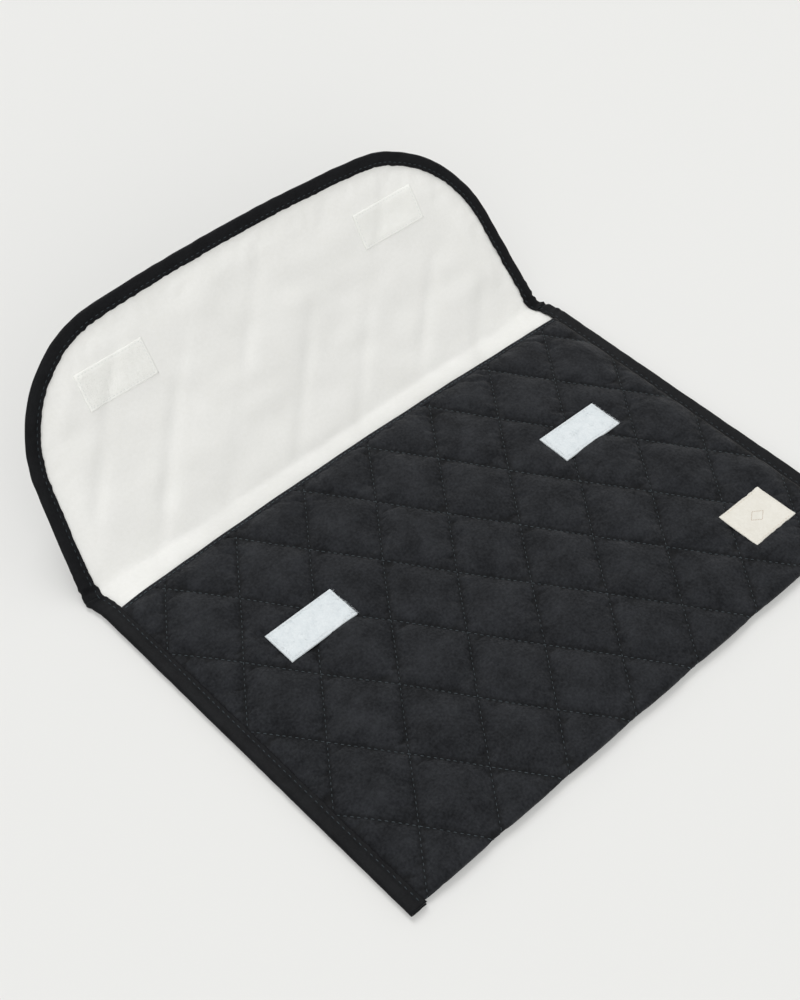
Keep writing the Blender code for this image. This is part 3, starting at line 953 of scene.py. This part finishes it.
def add_hook_patch(side, finish, thread):
    name = "hook_patch_" + side
    low, high = node_box(name)
    size = np.array([high[0] - low[0], HOOK_DEPTH])
    centre_x = (low[0] + high[0]) / 2

    def place(u, w, height):
        x = centre_x + u
        run = FLAP_RUN + HOOK_REACH + w
        return strip_place(x, run, lining_depth(x, run) + 0.02 + height)

    def selvedge(u, w, inset):
        return -0.24 * np.exp(-((inset - PATCH_INSET) / 0.5) ** 2) + 0.05 * drift(u, w, 2, 6, 71)

    tape = add_tape(name + "_tape", place, size, 0.55, 0.8, selvedge, finish)
    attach(tape, "flap")
    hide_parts(name)
    rng = np.random.default_rng(72)
    u, w = np.meshgrid(
        np.arange(-size[0] / 2 + 2.4, size[0] / 2 - 2.0, HOOK_PITCH[0]),
        np.arange(-size[1] / 2 + 2.4, size[1] / 2 - 2.0, HOOK_PITCH[1]),
    )
    u = (u + rng.uniform(-0.15, 0.15, u.shape)).ravel()
    w = (w + rng.uniform(-0.15, 0.15, w.shape)).ravel()
    roots = place(u, w, np.full_like(u, 0.4))
    tips = place(u + rng.choice([-0.55, 0.55], u.shape), w, np.full_like(u, 0.75))
    outward = unit(place(u, w, np.full_like(u, 1.0)) - roots)
    hooks = fibres(name + "_hooks", roots, tips, outward * 0.45, 0.11, finish)
    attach(hooks, "flap")
    seam = edge_seam(name + "_seam", place, size, PATCH_INSET, 2.2, 0.42, 0.2, thread)
    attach(seam, "flap")


def add_label(finish, thread, mark_thread):
    """A plain woven label; its only mark is a small stitched diamond."""
    size, flat_place = front_patch("label", LABEL_LIFT + 0.05)

    def place(u, w, height):
        curl = 0.25 * smooth((np.abs(u) - 12) / 5) * smooth((np.abs(w) - 8) / 5)
        return flat_place(u, w, height + curl)

    def folded(u, w, inset):
        turned = 0.16 * smooth((np.abs(u) - size[0] / 2 + 5.0) / 0.8)
        return turned + 0.03 * drift(u, w, 5, 14, 81)

    tape = add_tape("label_cloth", place, size, 0.5, 0.8, folded, finish)
    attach(tape, "sleeve")
    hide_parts("label")
    seam = edge_seam("label_seam", place, size, 1.3, 2.3, 0.62, 0.13, thread)
    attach(seam, "sleeve")
    diamond = [(5.2, 0.0), (0.0, 3.6), (-5.2, 0.0), (0.0, -3.6)]
    stitches = polygon_stitches(diamond, 0.9)
    mark = add_seam("label_mark", place, stitches, 0.52, (0.8, 0.2), mark_thread)
    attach(mark, "sleeve")


# ---- finishes

def new_finish(name, roughness, sheen, sheen_roughness, specular):
    made = bpy.data.materials.new(name)
    made.use_nodes = True
    shader = made.node_tree.nodes["Principled BSDF"]
    shader.inputs["Roughness"].default_value = roughness
    shader.inputs["Sheen Weight"].default_value = sheen
    shader.inputs["Sheen Roughness"].default_value = sheen_roughness
    shader.inputs["Specular IOR Level"].default_value = specular
    return made, made.node_tree, shader


def math_node(tree, operation, first, second):
    made = tree.nodes.new("ShaderNodeMath")
    made.operation = operation
    for socket, value in zip(made.inputs, (first, second)):
        if isinstance(value, (int, float)):
            socket.default_value = value
        else:
            tree.links.new(value, socket)
    return made.outputs[0]


def noise_node(tree, place, scale, detail, rough):
    made = tree.nodes.new("ShaderNodeTexNoise")
    made.inputs["Scale"].default_value = scale
    made.inputs["Detail"].default_value = detail
    made.inputs["Roughness"].default_value = rough
    tree.links.new(place, made.inputs["Vector"])
    return made.outputs["Fac"]


def weave_height(tree, place, pitch):
    """Over-and-under threads in both directions of the cloth."""
    parts = tree.nodes.new("ShaderNodeSeparateXYZ")
    tree.links.new(place, parts.inputs[0])
    turn = 2 * PI / pitch
    waves = []
    for socket in (parts.outputs["X"], parts.outputs["Y"]):
        angle = math_node(tree, "MULTIPLY", socket, turn)
        waves.append(math_node(tree, "SINE", angle, 0.0))
    return math_node(tree, "MULTIPLY", waves[0], waves[1])


def add_bump(tree, shader, layers):
    """Chain of bumps; each layer is (height socket, distance in mm, strength)."""
    previous = None
    for height, distance, strength in layers:
        bump = tree.nodes.new("ShaderNodeBump")
        bump.inputs["Distance"].default_value = distance * MM
        bump.inputs["Strength"].default_value = strength
        tree.links.new(height, bump.inputs["Height"])
        if previous is not None:
            tree.links.new(previous, bump.inputs["Normal"])
        previous = bump.outputs["Normal"]
    tree.links.new(previous, shader.inputs["Normal"])


def map_range(tree, value, span, result, kind="LINEAR"):
    """Carry a value from one span over to another."""
    made = tree.nodes.new("ShaderNodeMapRange")
    made.interpolation_type = kind
    for name, limit in zip(("From Min", "From Max", "To Min", "To Max"), (*span, *result)):
        made.inputs[name].default_value = limit
    tree.links.new(value, made.inputs["Value"])
    return made.outputs["Result"]


def mix_colour(tree, share, first, second):
    ramp = tree.nodes.new("ShaderNodeValToRGB")
    for element, colour, at in zip(ramp.color_ramp.elements, (first, second), MOTTLE_SPAN):
        element.color = (*colour, 1.0)
        element.position = at
    tree.links.new(share, ramp.inputs["Fac"])
    return ramp.outputs["Color"]


def shade_along(tree, place, axis, span, least, colour):
    """Scale a colour from least to its full value over a span of one strip coordinate."""
    parts = tree.nodes.new("ShaderNodeSeparateXYZ")
    tree.links.new(place, parts.inputs[0])
    lit = map_range(tree, parts.outputs[axis], span, (least, 1.0), "SMOOTHSTEP")
    scaled = tree.nodes.new("ShaderNodeVectorMath")
    scaled.operation = "SCALE"
    tree.links.new(colour, scaled.inputs[0])
    tree.links.new(lit, scaled.inputs["Scale"])
    return scaled.outputs["Vector"]


def paint_groove_shade(tree, place, colour):
    """Painted shade: the cloth's colour is darkened in the stitching lines and in the slit beside
    the right binding, where shade falls.
    """
    colour = shade_along(tree, place, "X", (SEAM_X + 0.6, SEAM_X - 2.4), 0.25, colour)
    return shade_along(tree, place, "Z", (0.0, 1.2), 0.40, colour)


def paint_pocket_shade(tree, place, colour):
    """Painted shade: the lining's colour is a little darker down in the pocket than on the flap."""
    return shade_along(tree, place, "Y", (BACK_RUN - 4, FLAP_RUN + 5), 0.965, colour)


def cloth_finish(name, dark, light, roughness, sheen, specular, weave, shade=None):
    """Woven cloth: mottled colour, a weave at its real pitch and a soft uneven surface.

    weave is (its pitch in mm, scale of the broad mottling, scale of the fine one).
    """
    pitch, mottle, fine = weave
    made, tree, shader = new_finish(name, roughness, sheen, 0.45, specular)
    place = tree.nodes.new("ShaderNodeAttribute")
    place.attribute_name = "strip"
    place = place.outputs["Vector"]
    broad = noise_node(tree, place, mottle, 4.0, 0.6)
    small = noise_node(tree, place, fine, 3.0, 0.6)
    halves = [math_node(tree, "MULTIPLY", noise, 0.5) for noise in (broad, small)]
    both = math_node(tree, "ADD", *halves)
    colour = mix_colour(tree, both, dark, light)
    layers = [
        (weave_height(tree, place, pitch), 0.04, 0.35),
        (small, 0.25, 0.35),
        (broad, 0.5, 0.35),
    ]
    # Painted shade is multiplied into the colour where a shade function is given.
    if shade is not None:
        colour = shade(tree, place, colour)
    if shade is paint_groove_shade:
        # The quilted cloth is brushed unevenly and has broad shallow rumples.
        brushed = map_range(tree, both, MOTTLE_SPAN, (0.4 * sheen, 1.6 * sheen))
        tree.links.new(brushed, shader.inputs["Sheen Weight"])
        layers.append((noise_node(tree, place, 0.17, 2.0, 0.5), 1.6, 0.5))
    tree.links.new(colour, shader.inputs["Base Color"])
    add_bump(tree, shader, layers)
    return made


def make_finishes():
    """Each cloth: name, darker and lighter colour, roughness, sheen, specular level, weave, and any
    painted shade.
    """
    return (
        # The quilted cloth has painted shade in its stitching lines and beside the right binding.
        cloth_finish("quilted_cloth", (0.0036, 0.0042, 0.0056), (0.0184, 0.0200, 0.0236),
                     0.72, 0.08, 0.14, (0.55, 0.07, 0.70), paint_groove_shade),
        cloth_finish("binding_twill", (0.0028, 0.0030, 0.0038), (0.0076, 0.0081, 0.0094),
                     0.62, 0.02, 0.11, (0.60, 0.10, 0.70)),
        # The lining has painted shade down in the pocket.
        cloth_finish("smooth_lining", (0.787, 0.785, 0.758), (0.828, 0.826, 0.803),
                     0.62, 0.03, 0.30, (0.40, 0.03, 0.50), paint_pocket_shade),
        cloth_finish("loop_pile", (0.612, 0.658, 0.682), (0.700, 0.738, 0.757),
                     0.95, 0.2, 0.20, (0.60, 0.25, 1.20)),
        cloth_finish("hook_tape_weave", (0.832, 0.832, 0.798), (0.866, 0.866, 0.838),
                     0.50, 0.0, 0.40, (0.70, 0.20, 1.00)),
        cloth_finish("label_weave", (0.674, 0.649, 0.585), (0.728, 0.709, 0.652),
                     0.78, 0.1, 0.25, (0.50, 0.12, 0.90)),
    )


def make_threads():
    """Each thread: name, darker and lighter colour, roughness, specular level."""
    rows = (
        ("dark_thread", (0.030, 0.042, 0.049), (0.046, 0.062, 0.071), 0.55, 0.35),
        ("binding_thread", (0.022, 0.031, 0.037), (0.034, 0.046, 0.053), 0.55, 0.25),
        ("pale_thread", (0.70, 0.72, 0.70), (0.80, 0.81, 0.78), 0.60, 0.35),
        ("label_thread", (0.62, 0.55, 0.45), (0.72, 0.64, 0.53), 0.65, 0.30),
        ("brown_thread", (0.38, 0.27, 0.20), (0.46, 0.34, 0.25), 0.60, 0.30),
    )
    spun = (0.30, 0.20, 1.50)
    return [cloth_finish(*row[:4], 0.0, row[4], spun) for row in rows]


# ---- studio

def add_floor():
    data = bpy.data.meshes.new("floor")
    corners = [(u, w, 0.0) for u, w in rectangle(2 * FLOOR_HALF, 2 * FLOOR_HALF)]
    data.from_pydata(corners, [], [(0, 1, 2, 3)])
    made, _, shader = new_finish("paper_floor", 0.95, 0.0, 0.4, 0.1)
    shader.inputs["Base Color"].default_value = (0.52, 0.52, 0.512, 1.0)
    shader.inputs["Emission Color"].default_value = (1.0, 1.0, 0.98, 1.0)
    shader.inputs["Emission Strength"].default_value = 0.235
    data.materials.append(made)
    floor = add_object("floor", data)
    floor.location.z = -FLOOR_DROP


def add_soft_light(name, energy, spread, way):
    lamp = bpy.data.lights.new(name, "SUN")
    lamp.energy = energy
    lamp.angle = math.radians(spread)
    item = add_object(name, lamp)
    item.rotation_mode = "QUATERNION"
    item.rotation_quaternion = Vector(way).to_track_quat("-Z", "Y")


def add_lights():
    world = bpy.data.worlds.new("studio")
    world.use_nodes = True
    tree = world.node_tree
    background = tree.nodes["Background"]
    background.inputs["Color"].default_value = (1.0, 1.0, 0.985, 1.0)
    place = tree.nodes.new("ShaderNodeTexCoord")
    parts = tree.nodes.new("ShaderNodeSeparateXYZ")
    tree.links.new(place.outputs["Generated"], parts.inputs[0])
    # Brighter low down, where the floor meets it, so that no horizon shows.
    strength = map_range(tree, parts.outputs["Z"], (0.28, 0.55), (0.84, 0.47), "SMOOTHSTEP")
    tree.links.new(strength, background.inputs["Strength"])
    bpy.context.scene.world = world
    add_soft_light("softbox", *SOFTBOX)
    add_soft_light("fill", *FILL)


def add_camera():
    data = bpy.data.cameras.new("camera")
    data.lens = CAMERA_LENS
    data.sensor_width = 36.0
    data.clip_start = 0.01
    camera = add_object("camera", data)
    camera.location = CAMERA_PLACE
    camera.rotation_euler = Euler([math.radians(turn) for turn in CAMERA_TURN])
    bpy.context.scene.camera = camera


def build():
    shell, tape, lining, loop, hook, label = make_finishes()
    dark, binding_thread, pale, label_thread, brown = make_threads()
    add_front_quilt(shell, dark)
    add_back_quilt(shell, dark)
    add_lining(lining)
    add_binding(tape, binding_thread)
    add_mouth_hem(shell, dark)
    add_loop_patch("left", loop, pale, 101)
    add_loop_patch("right", loop, pale, 202)
    add_hook_patch("left", hook, pale)
    add_hook_patch("right", hook, pale)
    add_label(label, label_thread, brown)
    add_floor()
    add_lights()
    add_camera()
    bpy.context.scene.view_settings.view_transform = "Standard"


build()
